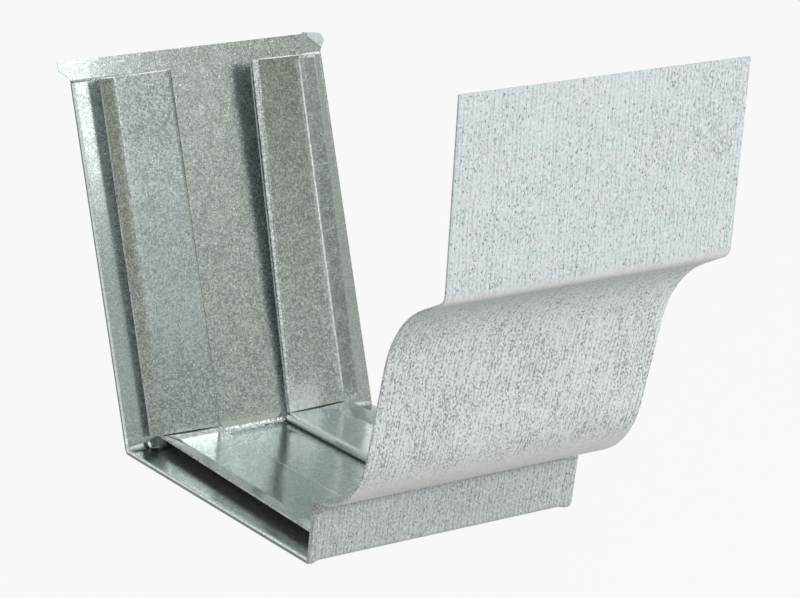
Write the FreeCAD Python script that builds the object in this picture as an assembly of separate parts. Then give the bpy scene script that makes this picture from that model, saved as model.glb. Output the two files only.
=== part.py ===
# Gutter slip connector: one bent piece of galvanized sheet, K-style (ogee) profile.
# X runs along the gutter, the moulded front faces -Y, +Z is up. Millimetres.
# Drawn with the front bottom corner of the outer face at y = 0, z = 0; moved at the end so that
# the origin is the middle of the flat underside. The side hems reach a little lower.

import math
import os

import FreeCAD
import Part

V = FreeCAD.Vector

# sheet
THICK = 0.55
WIDTH = 70.0

# bottom and back wall
BOTTOM = 89.4
BACK_LEAN = 15.2
BACK_SLANT = 96.5
CORNER_RADIUS = 1.4

# moulded front: (y, z) of the corners of the outer face
FRONT_CORNER_RADIUS = 1.6
LIP_TOP = (-3.2, 15.0)
LIP_TOP_RADIUS = 1.4
BULGE_CORNER = (-21.9, 18.3)
BULGE_RADIUS = 24.5
COVE_CORNER = (-37.5, 64.0)
COVE_RADIUS = 26.5
PLATE_FOOT = (-56.8, 72.3)
PLATE_FOOT_RADIUS = 3.6
PLATE_TOP = (-62.0, 115.0)

# side hem: the sheet dips outwards, rolls over the edge and lies down on its own inside
HEM_DROP = 0.45
HEM_TOP = 91.0
HEM_LIP_GAP = 2.6
ROLL_FROM_EDGE = 1.4
DIP_FROM_EDGE = 3.2
DIP_RADIUS = 2.5
DIP_FOOT_RADIUS = 1.2
LEG_TOP = 1.0
LIP_LEG_WIDTH = 6.0

# slip pocket: the turned-over leg folds back on itself and ends in a flared lip
FOLD_FROM_EDGE = 25.5
FLARE_FROM_EDGE = 5.6
FLARE_WIDTH = 4.3
FLARE_BEND_RADIUS = 2.0
FLOOR_POCKET = 1.2
FLOOR_FLARE = 15.0
FLARE_DRAWN_IN = 2.8
SLIP_FRONT = 1.8
SLIP_BACK = 0.4

# on the back wall the pocket swings off the wall towards its free top end
WALL_POCKET = (1.2, 1.95)
WALL_FLARE = (13.0, 27.0)
WALL_SWING = (1.5, 12.5)
WALL_FOLD = (FOLD_FROM_EDGE, 24.7)
SLIT_AT_FOLD = 2.6
SLIT_AT_FLARE = 3.1

# top corners of the back wall, left outside the hem; the right one is bent back
EAR_OUT = 2.6
EAR_STRAIGHT = 2.2
EAR_CREASE_TOP = 4.6
EAR_CREASE_SIDE = 4.4
EAR_BEND = 35.0
EAR_BEND_RADIUS = 0.6
EAR_TUCK = 0.2

# how far neighbouring runs of the sheet lap where they are fused, and how far the cutting shapes reach
LAP = 0.5
DIP_LAP = 2.0
ROLL_LAP = 0.6
EAR_LAP = 2.0
LEG_SHORT_OF_FOLD = 3.0
SLIT_CLEARANCE = 0.2
CUT_PAST = 5.0
CUT_REACH = 60.0

half = WIDTH / 2.0
back_turn = 90.0 - BACK_LEAN
bend_y = BOTTOM - CORNER_RADIUS * math.tan(math.radians(back_turn / 2.0))
bend_axis = V(0, bend_y, CORNER_RADIUS)
back_corner = V(0, BOTTOM, 0)
wall_up = V(0, math.sin(math.radians(BACK_LEAN)), math.cos(math.radians(BACK_LEAN)))
wall_in = V(0, -wall_up.z, wall_up.y)
lip_turn = math.degrees(math.atan2(LIP_TOP[1], LIP_TOP[0])) - 180.0
lip_bend_y = FRONT_CORNER_RADIUS * math.tan(math.radians(abs(lip_turn) / 2.0))


# bent sheet

def unit(a, b):
    dx, dy = b[0] - a[0], b[1] - a[1]
    length = math.hypot(dx, dy)
    return dx / length, dy / length


def turn(points, i):
    """Sine of the turn at a corner, positive when it goes left."""
    d0 = unit(points[i - 1], points[i])
    d1 = unit(points[i], points[i + 1])
    return d0[0] * d1[1] - d0[1] * d1[0]


def shifted(points, distance):
    """The same path moved to its right-hand side."""
    out = []
    last = len(points) - 1
    for i, p in enumerate(points):
        before = unit(points[max(i - 1, 0)], points[max(i, 1)])
        after = unit(points[min(i, last - 1)], points[min(i + 1, last)])
        n0 = (before[1], -before[0])
        n1 = (after[1], -after[0])
        k = distance / (1.0 + n0[0] * n1[0] + n0[1] * n1[1])
        out.append((p[0] + (n0[0] + n1[0]) * k, p[1] + (n0[1] + n1[1]) * k))
    return out


def rounded(points, radii, place):
    """Edges of a path whose inner corners are rounded."""
    edges = []
    here = points[0]
    for i in range(1, len(points) - 1):
        corner = points[i]
        d0 = unit(points[i - 1], corner)
        d1 = unit(corner, points[i + 1])
        angle = math.acos(d0[0] * d1[0] + d0[1] * d1[1])
        cut = radii[i - 1] * math.tan(angle / 2.0)
        start = (corner[0] - d0[0] * cut, corner[1] - d0[1] * cut)
        end = (corner[0] + d1[0] * cut, corner[1] + d1[1] * cut)
        reach = radii[i - 1] * (1.0 / math.cos(angle / 2.0) - 1.0)
        mid_dir = unit((0, 0), (d1[0] - d0[0], d1[1] - d0[1]))
        middle = (corner[0] + mid_dir[0] * reach, corner[1] + mid_dir[1] * reach)
        if math.hypot(start[0] - here[0], start[1] - here[1]) > 1e-6:
            edges.append(Part.makeLine(place(*here), place(*start)))
        edges.append(Part.Arc(place(*start), place(*middle), place(*end)).toShape())
        here = end
    if math.hypot(points[-1][0] - here[0], points[-1][1] - here[1]) > 1e-6:
        edges.append(Part.makeLine(place(*here), place(*points[-1])))
    return edges


def sheet_wire(points, radii, place):
    """Outline of a sheet that follows a path, with its thickness on the right-hand side."""
    other = shifted(points, THICK)
    other_radii = [
        r + THICK if turn(points, i + 1) > 0 else r - THICK
        for i, r in enumerate(radii)
    ]
    edges = rounded(points, radii, place)
    edges.append(Part.makeLine(place(*points[-1]), place(*other[-1])))
    edges += rounded(other, other_radii, place)[::-1]
    edges.append(Part.makeLine(place(*other[0]), place(*points[0])))
    return Part.Wire(Part.__sortEdges__(edges))


def sheet_face(points, radii, place):
    return Part.Face(sheet_wire(points, radii, place))


# outer sheet

def outer_sheet():
    """Back wall, bottom and moulded front; the hemmed stretch stops where the hem dips."""
    top = back_corner + wall_up * BACK_SLANT
    front = [LIP_TOP, BULGE_CORNER, COVE_CORNER, PLATE_FOOT, PLATE_TOP]
    upper_radii = [LIP_TOP_RADIUS, BULGE_RADIUS, COVE_RADIUS, PLATE_FOOT_RADIUS]
    inset = half - DIP_FROM_EDGE

    whole = [(top.y, top.z), (BOTTOM, 0), (0, 0)] + front
    radii = [CORNER_RADIUS, FRONT_CORNER_RADIUS] + upper_radii
    narrow = sheet_face(whole, radii, lambda y, z: V(-inset, y, z))
    narrow = narrow.extrude(V(2 * inset, 0, 0))

    share = 1.0 - HEM_LIP_GAP / math.hypot(*LIP_TOP)
    moulded = [(LIP_TOP[0] * share, LIP_TOP[1] * share)] + front
    wide = sheet_face(moulded, upper_radii, lambda y, z: V(-half, y, z))
    wide = wide.extrude(V(WIDTH, 0, 0))
    return narrow.fuse(wide)


def wall_point(x, height, up):
    """Point of the back wall: distance in from its outer face, and distance up from the corner."""
    return back_corner + V(x, 0, 0) + wall_up * up + wall_in * height


def wall_plate(corners):
    """Flat piece of the back wall from (x, distance up the wall) corners."""
    points = [wall_point(x, 0, up) for x, up in corners]
    face = Part.Face(Part.makePolygon(points + points[:1]))
    return face.extrude(wall_in * THICK)


def ear(side, bend):
    """Top corner of the back wall, slanted above the hem and bent back along a crease."""
    inner = side * (half - EAR_CREASE_TOP - EAR_LAP)
    foot = (side * (half - EAR_TUCK), HEM_TOP)
    outer = side * (half + EAR_OUT)
    crease_top = (outer - side * (EAR_CREASE_TOP + EAR_OUT), BACK_SLANT)
    crease_side = (side * half, BACK_SLANT - EAR_CREASE_SIDE)
    tip = [(outer, BACK_SLANT - EAR_STRAIGHT), (outer, BACK_SLANT)]

    flat = wall_plate([(inner, HEM_TOP), foot, crease_side, crease_top, (inner, BACK_SLANT)])
    flap = wall_plate([crease_side] + tip + [crease_top])
    if not bend:
        return flat.fuse(flap)

    start = wall_point(crease_side[0], 0, crease_side[1])
    end = wall_point(crease_top[0], 0, crease_top[1])
    through = wall_in * THICK
    cut = Part.Face(Part.makePolygon([start, end, end + through, start + through, start]))
    hinge = start - wall_in * EAR_BEND_RADIUS
    crease = cut.revolve(hinge, end - start, side * bend)
    flap.rotate(hinge, end - start, side * bend)
    return flat.fuse([crease, flap])


# side hem, left side

hem_roll = (LEG_TOP + HEM_DROP) / 2.0 - 1e-4
roll_end = -half + hem_roll + ROLL_LAP
wall_start = BOTTOM - bend_y


def hem_section(leg_end, place):
    """Rolled edge, and the leg that lies on the inside of the sheet."""
    path = [
        (-half + DIP_FROM_EDGE + DIP_LAP, 0),
        (-half + DIP_FROM_EDGE, 0),
        (-half + ROLL_FROM_EDGE, -HEM_DROP),
        (-half, -HEM_DROP),
        (-half, LEG_TOP),
        (roll_end, LEG_TOP),
    ]
    radii = [DIP_RADIUS, DIP_FOOT_RADIUS, hem_roll, hem_roll]
    rolled = sheet_face(path, radii, place)
    leg = sheet_face([(roll_end, LEG_TOP), (leg_end, LEG_TOP)], [], place)
    return rolled, leg


def hem():
    """The hem from the top of the back wall round both corners to the top of the front lip."""
    leg_end = -half + FOLD_FROM_EDGE - LEG_SHORT_OF_FOLD
    runs = []

    at_back = hem_section(leg_end, lambda x, z: V(x, bend_y, z))
    for face in at_back:
        runs.append(face.extrude(V(0, lip_bend_y - bend_y, 0)))
        runs.append(face.revolve(bend_axis, V(1, 0, 0), back_turn))
    wall_roll = at_back[0].rotated(bend_axis, V(1, 0, 0), back_turn)
    runs.append(wall_roll.extrude(wall_up * (HEM_TOP - wall_start)))

    lip_axis = V(0, lip_bend_y, FRONT_CORNER_RADIUS)
    lip_run = math.hypot(*LIP_TOP) - lip_bend_y - HEM_LIP_GAP
    lip_up = V(0, *unit((0, 0), LIP_TOP))
    for face in hem_section(-half + LIP_LEG_WIDTH, lambda x, z: V(x, lip_bend_y, z)):
        runs.append(face.revolve(lip_axis, V(1, 0, 0), lip_turn))
        on_lip = face.rotated(lip_axis, V(1, 0, 0), lip_turn)
        runs.append(on_lip.extrude(lip_up * lip_run))
    return runs[0].fuse(runs[1:])


# slip pocket, left side

def pocket_path(pocket, flare, swing, leg_start, fold_from_edge, drawn_in=0.0):
    """Leg, fold, raised face and flared lip, swung off the sheet about the hem."""
    fold = -half + fold_from_edge - THICK
    roof = LEG_TOP + pocket
    flare_turn = math.radians(flare)
    flare_bend = -half + FLARE_FROM_EDGE + FLARE_WIDTH + drawn_in
    flat = [
        (leg_start, LEG_TOP),
        (fold, LEG_TOP),
        (fold, roof),
        (flare_bend, roof),
        (flare_bend - FLARE_WIDTH * math.cos(flare_turn), roof + FLARE_WIDTH * math.sin(flare_turn)),
    ]
    hinge = (-half + hem_roll, LEG_TOP - THICK / 2.0)
    c, s = math.cos(math.radians(swing)), math.sin(math.radians(swing))
    path = [
        (hinge[0] + (x - hinge[0]) * c - (z - hinge[1]) * s,
         hinge[1] + (x - hinge[0]) * s + (z - hinge[1]) * c)
        for x, z in flat
    ]
    radius = pocket / 2.0 - 1e-4
    return path, [radius, radius, FLARE_BEND_RADIUS]


def floor_slip():
    """The pocket along the bottom; its flared lip is drawn in towards the back corner."""
    leg_start = -half + FOLD_FROM_EDGE - LEG_SHORT_OF_FOLD - LAP
    wires = []
    for drawn_in, y in ((0.0, SLIP_FRONT), (FLARE_DRAWN_IN, BOTTOM)):
        path, radii = pocket_path(FLOOR_POCKET, FLOOR_FLARE, 0.0, leg_start, FOLD_FROM_EDGE, drawn_in)
        wires.append(sheet_wire(path, radii, lambda x, z: V(x, y, z)))
    run = Part.makeLoft(wires, True, True)
    behind = Part.makeBox(WIDTH, CUT_REACH, CUT_REACH, V(-half, 0, -CUT_PAST))
    behind.rotate(V(0, 0, 0), V(1, 0, 0), -BACK_LEAN)
    behind.translate(back_corner + wall_in * (LEG_TOP + SLIP_BACK))
    return run.cut(behind)


def wall_slip():
    """The pocket up the back wall, cut free of the floor at its foot."""
    wires = []
    for end, up in enumerate((wall_start, HEM_TOP)):
        bends = (WALL_POCKET[end], WALL_FLARE[end], WALL_SWING[end])
        path, radii = pocket_path(*bends, roll_end - LAP, WALL_FOLD[end])
        wires.append(sheet_wire(path, radii, lambda x, h: wall_point(x, h, up)))
    run = Part.makeLoft(wires, True, True)

    over_leg = LEG_TOP + FOLD_FROM_EDGE * math.tan(math.radians(WALL_SWING[0])) + SLIT_CLEARANCE
    past_fold = -half + FOLD_FROM_EDGE + CUT_PAST
    slit = [
        wall_point(-half, over_leg, 0),
        wall_point(past_fold, over_leg, 0),
        wall_point(past_fold, over_leg, SLIT_AT_FOLD),
        wall_point(-half + FLARE_FROM_EDGE, over_leg, SLIT_AT_FLARE),
        wall_point(-half, over_leg, SLIT_AT_FLARE),
    ]
    slit = Part.Face(Part.makePolygon(slit + slit[:1])).extrude(wall_in * CUT_REACH)
    return run.cut(slit)


def slip_connector():
    left = [hem(), floor_slip(), wall_slip()]
    right = [s.mirror(V(0, 0, 0), V(1, 0, 0)) for s in left]
    ears = [ear(-1, 0.0), ear(1, EAR_BEND)]
    whole = outer_sheet().fuse(left + right + ears).removeSplitter()
    whole.translate(V(0, -BOTTOM / 2.0, 0))
    return whole


os.makedirs("parts", exist_ok=True)
part = slip_connector()
part = part.Solids[0] if len(part.Solids) == 1 else part
print("solids", len(part.Solids), "valid", part.isValid(), "volume mm3", round(part.Volume, 1))
part.exportStep("parts/slip_connector.step")
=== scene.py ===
# Gutter slip connector: finishes of the galvanized sheet, relief of its bends, light and camera. Metres.
import math
from collections import namedtuple

import bmesh
import bpy
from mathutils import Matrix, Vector, noise


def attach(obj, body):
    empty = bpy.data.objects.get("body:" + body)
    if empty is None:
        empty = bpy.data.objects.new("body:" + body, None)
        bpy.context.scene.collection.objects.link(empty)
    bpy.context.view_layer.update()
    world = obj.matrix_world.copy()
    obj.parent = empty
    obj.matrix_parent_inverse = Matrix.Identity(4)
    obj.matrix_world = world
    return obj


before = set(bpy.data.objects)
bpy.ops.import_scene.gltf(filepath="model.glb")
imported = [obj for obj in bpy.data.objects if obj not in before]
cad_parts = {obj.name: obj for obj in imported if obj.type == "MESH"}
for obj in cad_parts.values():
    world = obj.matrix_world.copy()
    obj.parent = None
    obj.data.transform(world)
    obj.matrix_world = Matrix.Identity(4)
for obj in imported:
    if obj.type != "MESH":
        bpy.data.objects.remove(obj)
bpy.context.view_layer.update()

# A pair of numbers named below as a range gives where a finish starts to show and where it is full.

# camera at the photograph's viewing angle
CAMERA_PLACE = (-0.32641, -0.56205, 0.22609)
CAMERA_TURN = (74.365, 0.418, -31.502)
CAMERA_LENS = 130.2
SENSOR_WIDTH = 36.0

# floor and studio
WHITE = (1.0, 1.0, 1.0, 1.0)
FLOOR_HEIGHT = -0.00045
FLOOR_REACH = 4.0
FLOOR_PAINT = (0.34, 0.34, 0.34, 1.0)
FLOOR_GLOW = 0.92
STUDIO_LIGHT = 0.42

# unlit side of the room, which only reflections see: its direction, ranges and colours
ROOM_SIDE = (0.69, -0.71, 0.14)
ROOM_EDGE = (0.55, 0.90)
ROOM_TOP = (0.86, 0.76)
ROOM_COLOUR = (0.50, 0.505, 0.46, 1.0)
ROOM_DEEP = (0.27, 0.28, 0.21, 1.0)
ROOM_DEEPENS = (0.60, 0.95)
ROOM_HIGH = (0.66, 0.72, 0.70, 1.0)
ROOM_HIGH_DEEP = (0.33, 0.39, 0.38, 1.0)
ROOM_HIGH_DEEPENS = (0.40, 0.58)
ROOM_RISES = (0.40, 0.60)

# lamps: name, place, aim, width and height, power, and whether metal mirrors it
LAMPS = (
    ("front_box", (0.33, -1.03, 0.56), (0.33, 0.0, 0.56), (0.18, 0.36), 0.72, True),
    ("high_box", (0.62, -1.08, 0.97), (0.0, 0.04, 0.04), (0.30, 0.34), 1.2, True),
    ("front_fill", (0.35, -1.25, 0.45), (0.0, 0.0, 0.06), (1.2, 0.6), 10.7, False),
    ("key_right", (0.60, -0.60, 1.35), (0.0, 0.0, 0.05), (1.3, 1.3), 6.4, False),
)

# a point inside the trough: faces turned away from it are the outside of the sheet
TROUGH_MIDDLE = (0.0, -0.020, 0.060)
HEM_EDGE = 0.0338
FRONT_FACE_Y = -0.0440

# seam of the rolled hem: range across the part, level and width
SEAM_EDGE = (0.0344, 0.0345)
SEAM_LEVEL = 0.00025
SEAM_WIDTH = 0.00052
SEAM_CORE = 0.4

# cut top edges of the slip pockets: lowest and highest level, and the least upward share of the normal
STRIP_TOP = (0.080, 0.0905)
CUT_FACING = 0.9

# outside: ranges of height for the bulge, which painted light makes lighter, its underside with a painted
# highlight, the front lip with painted shade, and the corner above the lip with a painted shadow
BULGE_RISES = (0.072, 0.058)
UNDER_BULGE = (0.034, 0.026)
UNDER_FACING = (-0.40, -0.85)
LIP_TOP = 0.0150
LIP_RISES = (LIP_TOP + 0.0008, LIP_TOP - 0.0002)
LIP_CORNER = (LIP_TOP - 0.0034, LIP_TOP - 0.0014)
LIP_BACK = -0.0400
UNDER_MARKS = 0.2

# outside: painted highlight along the bend at the foot of the plate, and fine rows along the profile
PLATE_BEND = 0.0722
PLATE_HIGHLIGHT = (0.0022, 0.0004)
ROW_PITCH = 0.00098
ROW_WOBBLE = 9.0

# inside: ranges of height for the floor, which painted light makes lighter, and the back wall, and of width
# for the margin beside the hem
FLOOR_FADES = (0.0060, 0.0030)
FLOOR_SHARE = 0.35
WALL_FOOT = (0.003, 0.006)
MARGIN_SIDE = (0.0290, 0.0302)

# inside: painted sheen on the middle of the left wall pocket's face
FACE_FOLD = (-0.0100, -0.0110)
FACE_FLARE = (-0.0262, -0.0235)
FACE_FOOT = (0.014, 0.034)
FACE_HEAD = (0.082, 0.062)

# inside: flare of the wall pockets, with painted shade on the right flare and a painted highlight along its
# bend
FLARE_BEND = 0.0256
FLARE_STARTS = (FLARE_BEND - 0.0002, FLARE_BEND + 0.0003)
FLARE_EDGE = (0.0297, 0.0295)
FLARE_FOOT = (0.004, 0.008)
FLARE_CREST = (0.00034, 0.00010)
FLARE_DULL = (0.0016, 0.0005)

# inside: painted highlight on the foot of the right wall pocket
FOOT_PATCH_TOP = (0.0120, 0.0045)
FOOT_PATCH_FLOOR = (0.0033, 0.0036)
FOOT_PATCH_SIDE = (0.0205, 0.0150)
FOOT_PATCH_FOLD = (0.0098, 0.0104)

# inside: fold of the floor pockets, with a painted highlight on its crest, painted light on its round and a
# painted shadow in the gap under it; ranges of height and of distance past its nose
FOLD_NOSE = 0.0095
FOLD_TOP = (0.0034, 0.0030)
CREST_FOOT = (0.0019, 0.0023)
CREST_INNER = (0.0002, 0.0005)
CREST_OUTER = (0.0013, 0.0009)
ROUND_FOOT = (0.0010, 0.0014)
ROUND_OUTER = (0.0008, 0.0004)
GAP_TOP = (0.0011, 0.0008)
GAP_INNER = (-0.0009, -0.0002)
GAP_OUTER = (0.0010, 0.0008)

# inside: painted highlight on the back end of the left floor pocket
FLOOR_PATCH_BACK = (0.0240, 0.0370)
FLOOR_PATCH_FOOT = (0.0020, 0.0023)
FLOOR_PATCH_HEAD = (0.0046, 0.0040)
FLOOR_PATCH_FOLD = (-0.0094, -0.0106)
FLOOR_PATCH_FLARE = (-0.0262, -0.0245)

# inside: painted shade on the pocket's leg
POCKET_SHADE_TOP = (0.0016, 0.0011)
POCKET_SHADE_FOLD = (0.0100, 0.0102)
POCKET_SHADE_HEM = (0.0343, 0.0336)
POCKET_SHADE_DEEPENS = (0.0342, 0.0300)

# sideways turn of the normal: the pocket's leg lies flat beside the hem, and the ears bow outwards
EDGE_FLAT = 0.13
EDGE_FROM = 0.015
EDGE_SIDE = (0.0290, 0.0305)
EAR_BOW = 0.03
EAR_FOOT = 0.0885
EAR_RISES = (EAR_FOOT - 0.0004, EAR_FOOT + 0.0004)
EAR_SIDE = (0.0150, 0.0300)

# back bend: lean of the wall, and the places where its inner faces leave the bend
WALL_LEAN = math.radians(15.2)
WALL_UP = Vector((0.0, math.sin(WALL_LEAN), math.cos(WALL_LEAN)))
WALL_IN = Vector((0.0, -math.cos(WALL_LEAN), math.sin(WALL_LEAN)))
BACK_CORNER = Vector((0.0, 0.0447, 0.0))
SHEET_TOP = 0.00055
SHEET_WALL = Vector((0.0, 0.04445, 0.00118))
LEG_TOP = 0.00100
LEG_WALL = Vector((0.0, 0.04402, 0.00130))
RELIEF_DEPTH = 0.0002

# cracked zinc in the bend between the pockets: size, and flakes a metre
CRACK_HALF = 0.0099
CRACK_RADIUS = 0.0018
CRACK_HEIGHT = 0.00028
CRACK_SINK = 0.25
FLAKES_COARSE = 1500.0
FLAKES_FINE = 3400.0

# pinched corner under each slip pocket: the web grows from the hem, with one waist
PINCH_FROM = 0.0250
PINCH_TO = 0.0342
PINCH_RADIUS = 0.0017
PINCH_CHAMFER = 0.8
PINCH_START = 0.50
PINCH_GROWTH = 1.35
PINCH_WAIST = 0.0294
WAIST_WIDTH = 0.0005
WAIST_DEPTH = 0.35
PINCH_RIPPLE = 0.12
RIPPLES = 300.0

# turned-up back edge of each floor pocket
CURL_FROM = 0.0097
CURL_TO = 0.0250
CURL_FRONT = 0.0385
CURL_BACK = 0.0426
CURL_LEVEL = 0.00275
CURL_RISE = 0.00062
CURL_POWER = 2.5
CURL_SLACK = 0.30
CURL_SINK = RELIEF_DEPTH * 0.2

# burr along the cut top of each wall pocket: (distance from the middle, distance off the wall)
BURR_LEVEL = 0.0910
BURR_PATH = ((0.0128, 0.0082), (0.0256, 0.0054), (0.0297, 0.0063))
BURR_RADIUS = 0.00016

# colours of the zinc, and of the light and shade painted on it
PALE_TEAL = (0.655, 0.735, 0.745, 1.0)
PALE_ROSE = (0.705, 0.735, 0.755, 1.0)
PAINTED_LIP_SHADE = (0.420, 0.465, 0.455, 1.0)
SPECK_GREY = (0.270, 0.290, 0.290, 1.0)
LIGHT_ROWS_AND_BULGE_LIGHT = (0.870, 0.920, 0.930, 1.0)
DOT_GREY = (0.140, 0.145, 0.145, 1.0)
ZINC_DULL = (0.370, 0.408, 0.397, 1.0)
ZINC_BRIGHT = (0.680, 0.738, 0.722, 1.0)
FLECK_AND_FLARE_SHADE = (0.240, 0.260, 0.250, 1.0)
PAINTED_FLOOR_LIGHT = (0.740, 0.810, 0.795, 1.0)
SEAM_DARK_AND_GAP_SHADOW = (0.060, 0.075, 0.080, 1.0)
PAINTED_POCKET_SHADE = (0.140, 0.155, 0.150, 1.0)
MARGIN_ZINC = (0.600, 0.660, 0.665, 1.0)
PAINTED_BEND_HIGHLIGHT = (0.900, 0.905, 0.880, 1.0)
PAINTED_UNDER_HIGHLIGHT = (0.800, 0.800, 0.755, 1.0)
PAINTED_CORNER_SHADOW = (0.230, 0.260, 0.250, 1.0)
PAINTED_FACE_SHEEN = (0.740, 0.830, 0.820, 1.0)
CUT_EDGE_AND_HIGHLIGHT = (0.950, 0.960, 0.960, 1.0)

# a place on the part: signed and plain distance from the middle, distance to the back, and height
Place = namedtuple("Place", "along aside depth height")

# shares of the outside's zones, and how much of the marks shows there
Zones = namedtuple("Zones", "bulge under lip marked")

# patterns of the inside: each crystal's colour and shade, drawn streaks, clouds, and all of them together
Zinc = namedtuple("Zinc", "crystal facet drawn cloud mottle")


# node helpers

def add(tree, kind, values=(), **settings):
    """A shader node; values are (socket, number or another node's output)."""
    new = tree.nodes.new("ShaderNode" + kind)
    for name, setting in settings.items():
        setattr(new, name, setting)
    for socket, value in values:
        if isinstance(value, bpy.types.NodeSocket):
            tree.links.new(value, new.inputs[socket])
        else:
            new.inputs[socket].default_value = value
    return new


def calc(tree, operation, a, b=0.0, c=0.0):
    """One step of arithmetic."""
    values = [(0, a), (1, b), (2, c)]
    return add(tree, "Math", values, operation=operation).outputs[0]


def times(tree, first, *others):
    """All the numbers multiplied."""
    for other in others:
        first = calc(tree, "MULTIPLY", first, other)
    return first


def apart(tree, a, b):
    """How far two numbers lie apart."""
    return calc(tree, "ABSOLUTE", calc(tree, "SUBTRACT", a, b))


def vector(tree, operation, a, b):
    """One step of vector arithmetic."""
    return add(tree, "VectorMath", [(0, a), (1, b)], operation=operation)


def unit(tree, a):
    """A vector brought to length 1."""
    return add(tree, "VectorMath", [(0, a)], operation="NORMALIZE").outputs[0]


def span(tree, value, low, high, to_low=0.0, to_high=1.0):
    """Value brought from one range to another, with soft ends."""
    values = [("Value", value), ("From Min", low), ("From Max", high)]
    values += [("To Min", to_low), ("To Max", to_high)]
    return add(tree, "MapRange", values, interpolation_type="SMOOTHSTEP").outputs["Result"]


def blend(tree, share, a, b):
    """Colour a with colour b over it."""
    values = [(0, share), (6, a), (7, b)]
    return add(tree, "Mix", values, data_type="RGBA", blend_type="MIX").outputs[2]


def either(tree, share, a, b):
    """Number a where share is 0, b where it is 1."""
    return add(tree, "Mix", [(0, share), (2, a), (3, b)]).outputs[0]


def stretched(tree, where, scale, turn=(0.0, 0.0, 0.0), offset=0.0):
    """Coordinates for a pattern that is finer or coarser along each axis."""
    values = [("Vector", where), ("Location", (offset, offset, offset))]
    values += [("Rotation", turn), ("Scale", scale)]
    return add(tree, "Mapping", values).outputs["Vector"]


def grain(tree, where, scale, detail=2.0, rough=0.5):
    """Noise at so many features a metre."""
    values = [("Vector", where), ("Scale", scale), ("Detail", detail), ("Roughness", rough)]
    return add(tree, "TexNoise", values).outputs["Fac"]


def drawn_grain(tree, where, across, along, detail, rough):
    """Noise with its own number of features a metre across the rows and along them."""
    return grain(tree, stretched(tree, where, (across, along, along)), 1.0, detail, rough)


def cells(tree, where, scale):
    """Voronoi cells: distance from the middle, and a random colour for each."""
    values = [("Vector", where), ("Scale", scale), ("Randomness", 1.0)]
    return add(tree, "TexVoronoi", values, feature="F1")


def measured(tree, where):
    """The coordinates of a point on the part, one by one."""
    axes = add(tree, "SeparateXYZ", [("Vector", where)])
    along = axes.outputs["X"]
    return Place(along, calc(tree, "ABSOLUTE", along), axes.outputs["Y"], axes.outputs["Z"])


def upward(tree, normal):
    """Upward share of a normal."""
    return add(tree, "SeparateXYZ", [("Vector", normal)]).outputs["Z"]


def small_marks(tree, where, scale, radius, share, drift):
    """Small marks scattered over the zinc, thicker where the drift is high."""
    spots = cells(tree, where, scale)
    chance = add(tree, "SeparateColor", [("Color", spots.outputs["Color"])]).outputs["Red"]
    chance = calc(tree, "ADD", chance, drift)
    there = span(tree, chance, 1.0 - share, 1.04 - share)
    return times(tree, span(tree, spots.outputs["Distance"], radius * 1.25, radius * 0.6), there)


# faces and edges of the sheet

def outside_share(tree, where, normal, place):
    """1 on the outer face of the sheet, 0 on its inner face, the pockets and the hem."""
    from_middle = vector(tree, "SUBTRACT", where, TROUGH_MIDDLE).outputs[0]
    facing = vector(tree, "DOT_PRODUCT", normal, from_middle).outputs["Value"]
    turned_out = calc(tree, "GREATER_THAN", facing, 0.0)
    off_hem = calc(tree, "LESS_THAN", place.aside, HEM_EDGE)
    on_moulding = calc(tree, "LESS_THAN", place.depth, FRONT_FACE_Y)
    return times(tree, turned_out, calc(tree, "MAXIMUM", off_hem, on_moulding))


def cut_edge_share(tree, normal, place):
    """1 on the bare cut edges along the top of the slip pockets."""
    above = calc(tree, "GREATER_THAN", place.height, STRIP_TOP[0])
    below = calc(tree, "LESS_THAN", place.height, STRIP_TOP[1])
    return times(tree, above, below, calc(tree, "GREATER_THAN", upward(tree, normal), CUT_FACING))


def hem_seam(tree, where, place):
    """1 along the seam where the rolled hem closes on the sheet, below and up the back wall."""
    below_ear = calc(tree, "LESS_THAN", place.height, EAR_FOOT)
    at_edge = times(tree, span(tree, place.aside, *SEAM_EDGE), below_ear)
    from_corner = vector(tree, "SUBTRACT", where, BACK_CORNER).outputs[0]
    off_wall = vector(tree, "DOT_PRODUCT", from_corner, WALL_IN).outputs["Value"]
    layer = calc(tree, "MINIMUM", place.height, off_wall)
    off_seam = apart(tree, layer, SEAM_LEVEL)
    return times(tree, at_edge, span(tree, off_seam, SEAM_WIDTH, SEAM_WIDTH * SEAM_CORE))


# finish of the outside

def outside_zones(tree, normal, place):
    """The bulge, its underside and the front lip; few marks show on the underside, under its painted
    highlight.
    """
    bulge = span(tree, place.height, *BULGE_RISES)
    facing_down = span(tree, upward(tree, normal), *UNDER_FACING)
    under = times(tree, facing_down, span(tree, place.height, *UNDER_BULGE))
    in_front = calc(tree, "LESS_THAN", place.depth, LIP_BACK)
    lip = times(tree, span(tree, place.height, *LIP_RISES), in_front)
    return Zones(bulge, under, lip, span(tree, under, 0.0, 1.0, 1.0, UNDER_MARKS))


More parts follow.
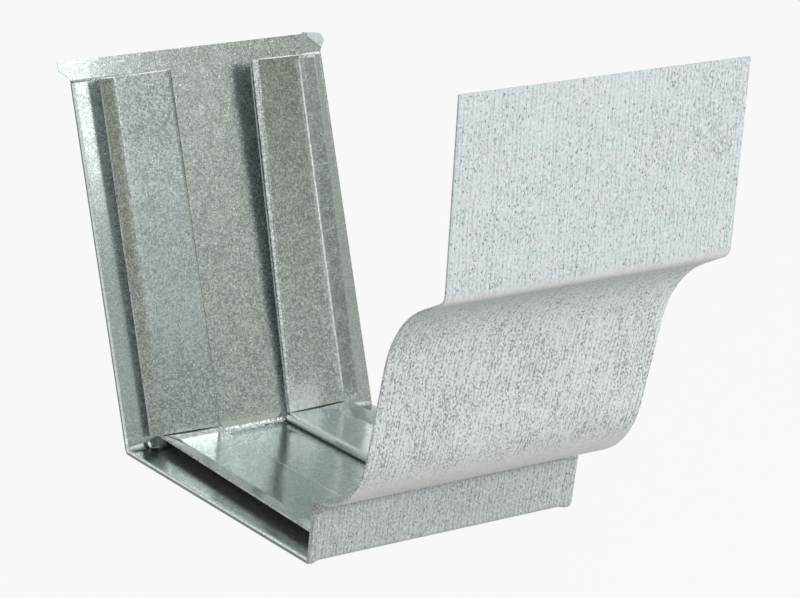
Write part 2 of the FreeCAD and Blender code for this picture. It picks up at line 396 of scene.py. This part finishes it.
def matte_zinc_and_painted_light(tree, where, place, zones):
    """Two close pale tints, with painted light on the bulge, a painted beige highlight under it, painted
    shade on the lip and a painted shadow in its corner.
    """
    tint = grain(tree, where, 520.0, 2.0, 0.6)
    colour = blend(tree, span(tree, tint, 0.40, 0.60), PALE_TEAL, PALE_ROSE)
    # painted light: the bulge is made lighter
    colour = blend(tree, times(tree, zones.bulge, 0.8), colour, LIGHT_ROWS_AND_BULGE_LIGHT)
    # painted highlight: a beige band of light on the underside of the bulge
    colour = blend(tree, times(tree, zones.under, 0.75), colour, PAINTED_UNDER_HIGHLIGHT)
    # painted shade: the lip is made greyer
    colour = blend(tree, times(tree, zones.lip, 0.56), colour, PAINTED_LIP_SHADE)
    # painted shadow of the bulge on the top of the lip
    corner_shadow = times(tree, zones.lip, span(tree, place.height, *LIP_CORNER))
    return blend(tree, times(tree, corner_shadow, 0.55), colour, PAINTED_CORNER_SHADOW)


def profile_rows(tree, where, place, zones):
    """Fine broken lines along the profile, stronger on the lip."""
    wobble = drawn_grain(tree, where, 300.0, 80.0, 2.0, 0.5)
    turns = 2.0 * math.pi / ROW_PITCH
    turn = calc(tree, "MULTIPLY_ADD", place.along, turns, times(tree, wobble, ROW_WOBBLE))
    line = span(tree, calc(tree, "SINE", turn), 0.35, 0.95)
    broken = drawn_grain(tree, where, 900.0, 330.0, 2.0, 0.6)
    breaks = span(tree, broken, 0.38, 0.58, 0.07, 0.38)
    stronger = calc(tree, "MULTIPLY_ADD", zones.lip, 0.5, 1.0)
    return times(tree, line, breaks, stronger, zones.marked)


def fine_specks(tree, fine, row, drift, zones):
    """Small specks in rows, thicker on the bulge."""
    thicker = calc(tree, "MULTIPLY_ADD", zones.bulge, 0.05, times(tree, drift, 0.25))
    speck = span(tree, calc(tree, "SUBTRACT", fine, thicker), 0.50, 0.33)
    return times(tree, speck, span(tree, row, 0.60, 0.40, 0.25, 1.0), zones.marked)


def speck_strength(tree, zones):
    """Specks are darker on the bulge and fainter on the lip."""
    darker = span(tree, zones.bulge, 0.0, 1.0, 0.60, 0.85)
    return times(tree, darker, calc(tree, "MULTIPLY_ADD", zones.lip, -0.4, 1.0))


def black_dots(tree, where, drift, painted_highlight, zones):
    """Blacker dots and short leaning strokes, thick on the bulge, few along the painted highlight of the
    bend.
    """
    chance = calc(tree, "MULTIPLY_ADD", zones.bulge, 0.14, times(tree, drift, 0.6))
    chance = calc(tree, "SUBTRACT", chance, painted_highlight)
    dots = small_marks(tree, where, 1900.0, 0.27, 0.25, chance)
    leaning = stretched(tree, where, (1.0, 0.55, 0.55), (0.0, math.radians(24.0), 0.0), 0.3)
    strokes = small_marks(tree, leaning, 1650.0, 0.29, 0.20, chance)
    return times(tree, calc(tree, "MAXIMUM", dots, strokes), zones.marked)


def outside_colour(tree, where, normal, place):
    """Pale matte zinc: fine rows of small dark specks along the profile, with blacker dots among them;
    painted light and shade on the bulge, under it and on the lip, and a painted highlight along the bend of
    the plate.
    """
    zones = outside_zones(tree, normal, place)
    drift = calc(tree, "SUBTRACT", grain(tree, where, 70.0, 3.0, 0.6), 0.5)
    row = drawn_grain(tree, where, 1900.0, 130.0, 1.0, 0.5)
    fine = drawn_grain(tree, where, 3000.0, 1500.0, 1.0, 0.5)

    colour = matte_zinc_and_painted_light(tree, where, place, zones)
    colour = blend(tree, profile_rows(tree, where, place, zones), colour, SPECK_GREY)
    speck = fine_specks(tree, fine, row, drift, zones)
    colour = blend(tree, times(tree, speck, speck_strength(tree, zones)), colour, SPECK_GREY)
    colour = blend(tree, span(tree, fine, 0.54, 0.70, 0.0, 0.5), colour, LIGHT_ROWS_AND_BULGE_LIGHT)

    # painted highlight along the bend at the foot of the plate
    at_bend = span(tree, apart(tree, place.height, PLATE_BEND), *PLATE_HIGHLIGHT)
    painted_highlight = times(tree, at_bend, span(tree, row, 0.3, 0.6, 0.45, 0.75))
    colour = blend(tree, painted_highlight, colour, PAINTED_BEND_HIGHLIGHT)
    mark = black_dots(tree, where, drift, painted_highlight, zones)
    colour = blend(tree, times(tree, mark, 0.82), colour, DOT_GREY)
    return colour, fine, calc(tree, "MAXIMUM", mark, speck)


# finish of the inside

def foot_highlight_patch(tree, place):
    """1 where a highlight is painted on the foot of the right wall pocket, beside its fold."""
    upright = times(tree, span(tree, place.height, *FOOT_PATCH_TOP), span(tree, place.height, *FOOT_PATCH_FLOOR))
    across = times(tree, span(tree, place.along, *FOOT_PATCH_SIDE), span(tree, place.along, *FOOT_PATCH_FOLD))
    return times(tree, upright, across)


def wall_margin(tree, place):
    """1 on the smoother margin of the back wall, between a pocket and the hem."""
    return times(tree, span(tree, place.aside, *MARGIN_SIDE), span(tree, place.height, *WALL_FOOT))


def face_sheen_share(tree, place):
    """1 where a sheen is painted on the middle of the left wall pocket's face."""
    across = times(tree, span(tree, place.along, *FACE_FOLD), span(tree, place.along, *FACE_FLARE))
    upright = times(tree, span(tree, place.height, *FACE_FOOT), span(tree, place.height, *FACE_HEAD))
    return times(tree, across, upright)


def right_flare_shade_and_highlight(tree, place):
    """1 where shade is painted on the flare of the right wall pocket, and 1 where a highlight is painted
    along its bend.
    """
    below_ear = calc(tree, "LESS_THAN", place.height, EAR_FOOT)
    on_pocket = times(tree, span(tree, place.height, *FLARE_FOOT), below_ear)
    across = times(tree, span(tree, place.along, *FLARE_STARTS), span(tree, place.along, *FLARE_EDGE))
    at_bend = span(tree, apart(tree, place.along, FLARE_BEND), *FLARE_CREST)
    return times(tree, across, on_pocket), times(tree, at_bend, on_pocket)


def floor_fold(tree, place):
    """1 along the crest of a floor pocket's fold, where a highlight is painted, 1 on its round, where light
    is painted, and 1 in the gap under it, where a shadow is painted.
    """
    past_nose = calc(tree, "SUBTRACT", place.aside, FOLD_NOSE)
    on_floor = span(tree, place.height, *FOLD_TOP)
    crest_highlight = times(tree, span(tree, past_nose, *CREST_OUTER), span(tree, past_nose, *CREST_INNER))
    crest_highlight = times(tree, crest_highlight, span(tree, place.height, *CREST_FOOT), on_floor)
    lit_round = times(tree, span(tree, past_nose, *ROUND_OUTER), span(tree, place.height, *ROUND_FOOT), on_floor)
    gap_shadow = times(tree, span(tree, past_nose, *GAP_INNER), span(tree, past_nose, *GAP_OUTER))
    gap_shadow = times(tree, gap_shadow, span(tree, place.height, *GAP_TOP))
    return crest_highlight, lit_round, gap_shadow


def floor_highlight_patch(tree, place):
    """1 where a highlight is painted on the back end of the left floor pocket."""
    at_back = span(tree, place.depth, *FLOOR_PATCH_BACK)
    upright = times(tree, span(tree, place.height, *FLOOR_PATCH_FOOT), span(tree, place.height, *FLOOR_PATCH_HEAD))
    across = times(tree, span(tree, place.along, *FLOOR_PATCH_FOLD), span(tree, place.along, *FLOOR_PATCH_FLARE))
    return times(tree, at_back, across, upright)


def pocket_shade_share(tree, place, zinc):
    """Painted shade on the leg inside a pocket, deeper away from the hem."""
    across = times(tree, span(tree, place.aside, *POCKET_SHADE_FOLD), span(tree, place.aside, *POCKET_SHADE_HEM))
    shade_on_leg = times(tree, span(tree, place.height, *POCKET_SHADE_TOP), across)
    deep = span(tree, place.aside, *POCKET_SHADE_DEEPENS, 0.55, 0.92)
    return times(tree, shade_on_leg, deep, span(tree, zinc.mottle, 0.45, 0.75, 1.0, 0.72))


def zinc_patterns(tree, where):
    """Fine crystals and short drawn streaks in slow clouds."""
    crystal = cells(tree, where, 2700.0).outputs["Color"]
    shade = add(tree, "SeparateColor", [("Color", crystal)])
    drawn = drawn_grain(tree, where, 3000.0, 800.0, 2.0, 0.6)
    cloud = grain(tree, where, 260.0, 3.0, 0.6)
    mottle = times(tree, shade.outputs["Red"], 0.55)
    mottle = calc(tree, "MULTIPLY_ADD", drawn, 0.3, mottle)
    mottle = calc(tree, "MULTIPLY_ADD", cloud, 0.35, mottle)
    return Zinc(crystal, shade.outputs["Green"], drawn, cloud, mottle)


def spangle(tree, where, zinc):
    """Dull and bright crystals, with dark flecks and glints among them."""
    colour = blend(tree, span(tree, zinc.mottle, 0.40, 0.80), ZINC_DULL, ZINC_BRIGHT)
    leaning = stretched(tree, where, (1.0, 0.6, 0.6), (0.0, math.radians(9.0), 0.0), 0.5)
    flecks = small_marks(tree, leaning, 1700.0, 0.30, 0.16, 0.0)
    colour = blend(tree, times(tree, flecks, 0.6), colour, FLECK_AND_FLARE_SHADE)
    shifted = stretched(tree, where, (0.9, 0.7, 0.7), offset=0.9)
    glints = small_marks(tree, shifted, 1700.0, 0.38, 0.14, 0.0)
    return blend(tree, times(tree, glints, 0.9), colour, CUT_EDGE_AND_HIGHLIGHT)


def wall_margin_and_painted_light(tree, colour, place, zinc):
    """The back wall: smooth margins, a painted sheen on the left face, and painted shade on the right flare
    with a painted highlight along its bend.
    """
    colour = blend(tree, times(tree, wall_margin(tree, place), 0.6), colour, MARGIN_ZINC)
    # painted sheen on the left wall pocket's face
    pale = times(tree, face_sheen_share(tree, place), span(tree, zinc.drawn, 0.3, 0.7, 0.10, 0.65))
    colour = blend(tree, pale, colour, PAINTED_FACE_SHEEN)
    flare, crest_highlight = right_flare_shade_and_highlight(tree, place)
    # painted shade on the right flare
    flare_shade = times(tree, flare, span(tree, zinc.cloud, 0.35, 0.65, 0.40, 0.75))
    colour = blend(tree, flare_shade, colour, FLECK_AND_FLARE_SHADE)
    # painted highlight along the bend of the right flare
    bright = times(tree, crest_highlight, span(tree, zinc.drawn, 0.35, 0.60, 0.45, 1.0))
    return blend(tree, bright, colour, CUT_EDGE_AND_HIGHLIGHT)


def floor_painted_light(tree, colour, place, zinc):
    """The floor: painted light over it, a painted highlight on the foot of the wall pocket, painted light on
    each fold with a painted highlight on its crest and a painted shadow under it, a painted highlight on the
    back end, and painted shade in the pockets.
    """
    # painted light: the floor is made lighter
    on_floor = span(tree, place.height, *FLOOR_FADES, 0.0, FLOOR_SHARE)
    colour = blend(tree, on_floor, colour, PAINTED_FLOOR_LIGHT)
    # painted highlight on the foot of the right wall pocket
    foot_highlight = times(tree, foot_highlight_patch(tree, place), span(tree, zinc.drawn, 0.35, 0.65, 0.4, 1.0))
    colour = blend(tree, foot_highlight, colour, CUT_EDGE_AND_HIGHLIGHT)
    # painted light on the round of each fold, a painted highlight on its crest and a painted shadow in the
    # gap under it
    crest_highlight, lit_round, gap_shadow = floor_fold(tree, place)
    colour = blend(tree, times(tree, lit_round, 0.7), colour, PAINTED_FLOOR_LIGHT)
    bright = times(tree, crest_highlight, span(tree, zinc.drawn, 0.35, 0.60, 0.5, 1.0))
    colour = blend(tree, bright, colour, CUT_EDGE_AND_HIGHLIGHT)
    colour = blend(tree, times(tree, gap_shadow, 0.80), colour, SEAM_DARK_AND_GAP_SHADOW)
    # painted highlight on the back end of the left floor pocket
    painted_highlight = times(tree, floor_highlight_patch(tree, place), span(tree, zinc.mottle, 0.40, 0.75, 0.15, 0.70))
    colour = blend(tree, painted_highlight, colour, CUT_EDGE_AND_HIGHLIGHT)
    # painted shade inside the pockets
    return blend(tree, pocket_shade_share(tree, place, zinc), colour, PAINTED_POCKET_SHADE)


def inside_colour(tree, where, normal, place, zinc):
    """Brighter spangled zinc with its marks and with painted light and shade, bright cut edges and the dark
    seam of the hem.
    """
    colour = spangle(tree, where, zinc)
    colour = wall_margin_and_painted_light(tree, colour, place, zinc)
    colour = floor_painted_light(tree, colour, place, zinc)
    colour = blend(tree, cut_edge_share(tree, normal, place), colour, CUT_EDGE_AND_HIGHLIGHT)
    return blend(tree, times(tree, hem_seam(tree, where, place), 0.85), colour, SEAM_DARK_AND_GAP_SHADOW)


# materials

def new_finish(name):
    """A material, its nodes and its shader."""
    material = bpy.data.materials.new(name)
    material.use_nodes = True
    tree = material.node_tree
    return material, tree, tree.nodes["Principled BSDF"]


def inside_gloss(tree, place, zinc, on_wall):
    """Roughness of the inside: least on the floor, more on the wall, its flares and the foot under its
    painted highlight.
    """
    rough = span(tree, zinc.facet, 0.0, 1.0, 0.12, 0.24)
    rough = calc(tree, "MULTIPLY_ADD", on_wall, 0.07, rough)
    rough = calc(tree, "MULTIPLY_ADD", foot_highlight_patch(tree, place), 0.35, rough)
    at_bend = span(tree, apart(tree, place.aside, FLARE_BEND), *FLARE_DULL, 0.0, 0.22)
    on_strip = times(tree, on_wall, span(tree, place.height, EAR_FOOT, EAR_FOOT - 0.0005))
    return calc(tree, "ADD", rough, times(tree, at_bend, on_strip))


def tilted(tree, normal, pattern, amount):
    """The surface normal with a small tilt of its own for each part of a pattern."""
    lean = vector(tree, "SUBTRACT", pattern, (0.5, 0.5, 0.5)).outputs[0]
    lean = add(tree, "VectorMath", [(0, lean), ("Scale", amount)], operation="SCALE").outputs[0]
    return unit(tree, vector(tree, "ADD", normal, lean).outputs[0])


def eased(tree, normal, place, share):
    """The normal turned a little beside the hems, inwards along the leg and outwards on the ears."""
    on_ear = span(tree, place.height, *EAR_RISES)
    leg = span(tree, place.height, EDGE_FROM, EAR_FOOT, 0.0, -EDGE_FLAT)
    lean = either(tree, on_ear, leg, EAR_BOW)
    beside_hem = span(tree, place.aside, *EDGE_SIDE)
    near_ear = span(tree, place.aside, *EAR_SIDE)
    reach = either(tree, on_ear, beside_hem, near_ear)
    lean = times(tree, lean, reach, calc(tree, "SIGN", place.along), share)
    turn = add(tree, "CombineXYZ", [("X", lean)]).outputs[0]
    return unit(tree, vector(tree, "ADD", normal, turn).outputs[0])


def sheet_normal(tree, where, place, zinc, outside, on_wall):
    """Inside, each crystal tilts a little and the sheet sways, most on the wall."""
    inside = calc(tree, "SUBTRACT", 1.0, outside)
    loose = times(tree, inside, span(tree, on_wall, 0.0, 1.0, 0.3, 1.0))
    loose = times(tree, loose, calc(tree, "MULTIPLY_ADD", wall_margin(tree, place), -0.7, 1.0))
    surface = add(tree, "NewGeometry").outputs["Normal"]
    surface = tilted(tree, surface, zinc.crystal, times(tree, loose, 0.05))
    sway = add(tree, "TexNoise", [("Vector", where), ("Scale", 420.0), ("Detail", 2.0)]).outputs["Color"]
    surface = tilted(tree, surface, sway, times(tree, loose, 0.025))
    return eased(tree, surface, place, times(tree, inside, on_wall))


def fine_relief(tree, where, streak, mark, outside, surface):
    """Rows and marks of the outside in relief, and shallow dents all over."""
    rows = calc(tree, "SUBTRACT", times(tree, streak, 0.5), mark)
    dents = times(tree, grain(tree, where, 60.0, 2.0, 0.5), 3.0)
    height = calc(tree, "ADD", times(tree, rows, outside), dents)
    values = [("Height", height), ("Strength", 0.25), ("Distance", 0.0002), ("Normal", surface)]
    return add(tree, "Bump", values).outputs["Normal"]


def galvanized_sheet():
    """Hot-dip galvanized sheet: pale and matte outside, spangled and brighter inside."""
    material, tree, shader = new_finish("galvanized_sheet_finish")
    coords = add(tree, "TexCoord")
    where = coords.outputs["Object"]
    normal = coords.outputs["Normal"]
    place = measured(tree, where)
    zinc = zinc_patterns(tree, where)
    outside = outside_share(tree, where, normal, place)
    on_wall = span(tree, place.height, *WALL_FOOT)

    pale, streak, mark = outside_colour(tree, where, normal, place)
    bright = inside_colour(tree, where, normal, place, zinc)
    tree.links.new(blend(tree, outside, bright, pale), shader.inputs["Base Color"])
    matte = span(tree, streak, 0.3, 0.7, 0.60, 0.48)
    shiny = inside_gloss(tree, place, zinc, on_wall)
    tree.links.new(either(tree, outside, shiny, matte), shader.inputs["Roughness"])
    tree.links.new(either(tree, outside, 1.0, 0.20), shader.inputs["Metallic"])
    surface = sheet_normal(tree, where, place, zinc, outside, on_wall)
    surface = fine_relief(tree, where, streak, mark, outside, surface)
    tree.links.new(surface, shader.inputs["Normal"])
    return material


def bare_cut():
    """Freshly sheared edge: bare, bright and finely torn."""
    material, tree, shader = new_finish("bare_cut_finish")
    where = add(tree, "TexCoord").outputs["Object"]
    torn = grain(tree, where, 1400.0, 2.0, 0.6)
    colour = blend(tree, span(tree, torn, 0.30, 0.55), ZINC_BRIGHT, CUT_EDGE_AND_HIGHLIGHT)
    tree.links.new(colour, shader.inputs["Base Color"])
    tree.links.new(span(tree, torn, 0.3, 0.7, 0.35, 0.55), shader.inputs["Roughness"])
    shader.inputs["Metallic"].default_value = 0.1
    return material


# relief of the bends

def sided(name, side):
    """The name of a piece that is on the left and on the right."""
    return name + ("_left" if side < 0 else "_right")


def finished(name, shape, finish):
    """A relief piece of the sheet, in a finish of the sheet."""
    mesh = bpy.data.meshes.new(name)
    shape.to_mesh(mesh)
    shape.free()
    mesh.materials.append(finish)
    for face in mesh.polygons:
        face.use_smooth = True
    piece = bpy.data.objects.new(name, mesh)
    bpy.context.scene.collection.objects.link(piece)
    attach(piece, "root")


def fillet(level, wall, radius, x_from, x_to, steps, cuts, flat=0.0):
    """A fillet along the back bend, from a floor level to a point on the wall; flat 1 is a chamfer."""
    full = math.pi / 2.0 - WALL_LEAN
    middle_z = level + radius
    rise = WALL_IN.z * (middle_z - wall.z)
    middle_y = wall.y - (radius - rise) / -WALL_IN.y
    shape = bmesh.new()
    ends = [shape.verts.new((x, middle_y, level)) for x in (x_from, x_to)]
    foot = shape.edges.new(ends)
    bmesh.ops.spin(shape, geom=ends + [foot], cent=(0.0, middle_y, middle_z), axis=(1.0, 0.0, 0.0),
                   angle=full, steps=steps)
    for vert in shape.verts:
        share = math.atan2(vert.co.y - middle_y, middle_z - vert.co.z) / full
        straight_y = middle_y + radius * math.sin(full) * share
        straight_z = level + radius * (1.0 - math.cos(full)) * share
        vert.co.y += flat * (straight_y - vert.co.y)
        vert.co.z += flat * (straight_z - vert.co.z)
    half = (x_to - x_from) / 2.0
    lengthwise = [e for e in shape.edges if abs(e.verts[0].co.x - e.verts[1].co.x) > half]
    bmesh.ops.subdivide_edges(shape, edges=lengthwise, cuts=cuts, use_grid_fill=True)
    bmesh.ops.recalc_face_normals(shape, faces=shape.faces)
    if sum(face.normal.z for face in shape.faces) < 0.0:
        bmesh.ops.reverse_faces(shape, faces=shape.faces)
    shape.normal_update()
    return shape


def cracked_zinc(finish):
    """Zinc that cracked and stood up when the sheet was bent, between the two pockets."""
    shape = fillet(SHEET_TOP, SHEET_WALL, CRACK_RADIUS, -CRACK_HALF, CRACK_HALF, 10, 170)
    for vert in shape.verts:
        inside = 0.0 if vert.is_boundary else 1.0
        flake = abs(noise.noise(vert.co * FLAKES_COARSE)) + 0.5 * abs(noise.noise(vert.co * FLAKES_FINE))
        vert.co += vert.normal * inside * CRACK_HEIGHT * (flake - CRACK_SINK)
    bmesh.ops.solidify(shape, geom=shape.faces[:], thickness=RELIEF_DEPTH)
    finished("cracked_zinc", shape, finish)


def corner_pinch(finish, side):
    """The leg of the pocket squeezed into the corner: a web that rises from the hem, with one waist."""
    ends = sorted((side * PINCH_FROM, side * PINCH_TO))
    shape = fillet(LEG_TOP, LEG_WALL, PINCH_RADIUS, ends[0], ends[1], 14, 70, PINCH_CHAMFER)
    corner_y = LEG_WALL.y + (LEG_TOP - LEG_WALL.z) * math.tan(WALL_LEAN)
    for vert in shape.verts:
        from_hem = (PINCH_TO - abs(vert.co.x)) / (PINCH_TO - PINCH_FROM)
        waist = math.exp(-((abs(vert.co.x) - PINCH_WAIST) / WAIST_WIDTH) ** 2)
        grow = PINCH_START + PINCH_GROWTH * from_hem - WAIST_DEPTH * waist
        grow += PINCH_RIPPLE * noise.noise(vert.co * RIPPLES)
        vert.co.y = corner_y + (vert.co.y - corner_y) * grow
        vert.co.z = LEG_TOP + (vert.co.z - LEG_TOP) * grow
    shape.normal_update()
    bmesh.ops.solidify(shape, geom=shape.faces[:], thickness=RELIEF_DEPTH)
    finished(sided("corner_pinch", side), shape, finish)


def turned_up_edge(finish, side):
    """The back edge of a floor pocket, turned up under the foot of the wall pocket."""
    shape = bmesh.new()
    bmesh.ops.create_grid(shape, x_segments=60, y_segments=12, size=0.5)
    width = CURL_TO - CURL_FROM
    depth = CURL_BACK - CURL_FRONT
    middle = (side * (CURL_FROM + CURL_TO) / 2.0, (CURL_FRONT + CURL_BACK) / 2.0, CURL_LEVEL)
    bmesh.ops.scale(shape, verts=shape.verts, vec=(width, depth, 1.0))
    bmesh.ops.translate(shape, verts=shape.verts, vec=middle)
    for vert in shape.verts:
        back = max(0.0, (vert.co.y - CURL_FRONT) / depth)
        along = (abs(vert.co.x) - CURL_FROM) / width
        slack = 1.0 + CURL_SLACK * (2.0 * along - 1.0) ** 2
        vert.co.z += CURL_RISE * slack * back ** CURL_POWER - CURL_SINK * (1.0 - back)
    shape.normal_update()
    bmesh.ops.solidify(shape, geom=shape.faces[:], thickness=RELIEF_DEPTH)
    finished(sided("turned_up_edge", side), shape, finish)


def cut_burr(finish, side):
    """The bright burr that shears left along the top of a wall pocket."""
    places = [BACK_CORNER + WALL_UP * BURR_LEVEL + WALL_IN * off for x, off in BURR_PATH]
    for place, point in zip(places, BURR_PATH):
        place.x = side * point[0]
    shape = bmesh.new()
    for start, end in zip(places, places[1:]):
        run = end - start
        turn = run.to_track_quat("Z", "Y").to_matrix().to_4x4()
        turn.translation = (start + end) / 2.0
        bmesh.ops.create_cone(shape, cap_ends=True, segments=10, radius1=BURR_RADIUS, radius2=BURR_RADIUS,
                              depth=run.length + BURR_RADIUS, matrix=turn)
    finished(sided("cut_burr", side), shape, finish)


# stage, light and camera

def white_to_sight(tree):
    """1 for rays from the camera and for those that a shiny or clear surface sends on."""
    path = add(tree, "LightPath")
    seen = calc(tree, "MAXIMUM", path.outputs["Is Camera Ray"], path.outputs["Is Glossy Ray"])
    return calc(tree, "MAXIMUM", seen, path.outputs["Is Transmission Ray"])


def floor_paint():
    """Nearly white to sight, and a plain grey that takes shadows to all other light."""
    material, tree, shader = new_finish("pale_floor")
    tree.nodes.remove(shader)
    paint = add(tree, "BsdfDiffuse", [("Color", FLOOR_PAINT)])
    glow = add(tree, "Emission", [("Color", WHITE), ("Strength", 1.0)])
    share = times(tree, white_to_sight(tree), FLOOR_GLOW)
    mixed = add(tree, "MixShader", [(0, share), (1, paint.outputs[0]), (2, glow.outputs[0])])
    tree.links.new(mixed.outputs[0], tree.nodes["Material Output"].inputs["Surface"])
    return material


def pale_floor():
    """The floor that the hems stand on."""
    shape = bmesh.new()
    bmesh.ops.create_grid(shape, x_segments=1, y_segments=1, size=FLOOR_REACH)
    bmesh.ops.translate(shape, verts=shape.verts, vec=(0.0, 0.0, FLOOR_HEIGHT))
    mesh = bpy.data.meshes.new("floor")
    shape.to_mesh(mesh)
    shape.free()
    mesh.materials.append(floor_paint())
    floor = bpy.data.objects.new("floor", mesh)
    bpy.context.scene.collection.objects.link(floor)


def unlit_room(tree, way):
    """Colour of the room's unlit side: darker towards the right, cooler higher up."""
    axes = add(tree, "SeparateXYZ", [("Vector", way)])
    low = blend(tree, span(tree, axes.outputs["X"], *ROOM_DEEPENS), ROOM_COLOUR, ROOM_DEEP)
    high = blend(tree, span(tree, axes.outputs["X"], *ROOM_HIGH_DEEPENS), ROOM_HIGH, ROOM_HIGH_DEEP)
    return blend(tree, span(tree, axes.outputs["Z"], *ROOM_RISES), low, high)


def white_studio():
    """White to the camera; metal also sees the unlit side of the room at the right front."""
    world = bpy.data.worlds.new("studio")
    bpy.context.scene.world = world
    world.use_nodes = True
    tree = world.node_tree
    back = tree.nodes["Background"]
    way = add(tree, "TexCoord").outputs["Generated"]
    side = vector(tree, "DOT_PRODUCT", way, ROOM_SIDE).outputs["Value"]
    below_top = span(tree, upward(tree, way), *ROOM_TOP)
    mirrored = add(tree, "LightPath").outputs["Is Glossy Ray"]
    unlit = times(tree, span(tree, side, *ROOM_EDGE), below_top, mirrored)
    tree.links.new(blend(tree, unlit, WHITE, unlit_room(tree, way)), back.inputs["Color"])
    strength = either(tree, white_to_sight(tree), STUDIO_LIGHT, 1.0)
    tree.links.new(strength, back.inputs["Strength"])


def softbox(name, place, aim, size, power, mirrored):
    """A rectangular lamp turned towards its aim."""
    data = bpy.data.lights.new(name, "AREA")
    data.shape = "RECTANGLE"
    data.size, data.size_y = size
    data.energy = power
    lamp = bpy.data.objects.new(name, data)
    lamp.visible_glossy = mirrored
    bpy.context.scene.collection.objects.link(lamp)
    lamp.location = place
    direction = [a - p for a, p in zip(aim, place)]
    flat = math.hypot(direction[0], direction[1])
    tilt = math.atan2(flat, -direction[2])
    turn = math.atan2(direction[1], direction[0]) - math.pi / 2
    lamp.rotation_euler = (tilt, 0.0, turn)


def photo_camera():
    """The camera at the photograph's viewing angle."""
    data = bpy.data.cameras.new("photo_camera")
    data.lens = CAMERA_LENS
    data.sensor_width = SENSOR_WIDTH
    data.sensor_fit = "HORIZONTAL"
    camera = bpy.data.objects.new("photo_camera", data)
    camera.location = CAMERA_PLACE
    camera.rotation_euler = [math.radians(a) for a in CAMERA_TURN]
    bpy.context.scene.collection.objects.link(camera)
    bpy.context.scene.camera = camera


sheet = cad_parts["slip_connector"]
finish = galvanized_sheet()
sheet.material_slots[0].material = finish
cut = bare_cut()
cracked_zinc(finish)
for side in (-1, 1):
    corner_pinch(finish, side)
    turned_up_edge(finish, side)
    cut_burr(cut, side)

pale_floor()
white_studio()
for lamp in LAMPS:
    softbox(*lamp)
photo_camera()
bpy.context.scene.view_settings.view_transform = "Standard"
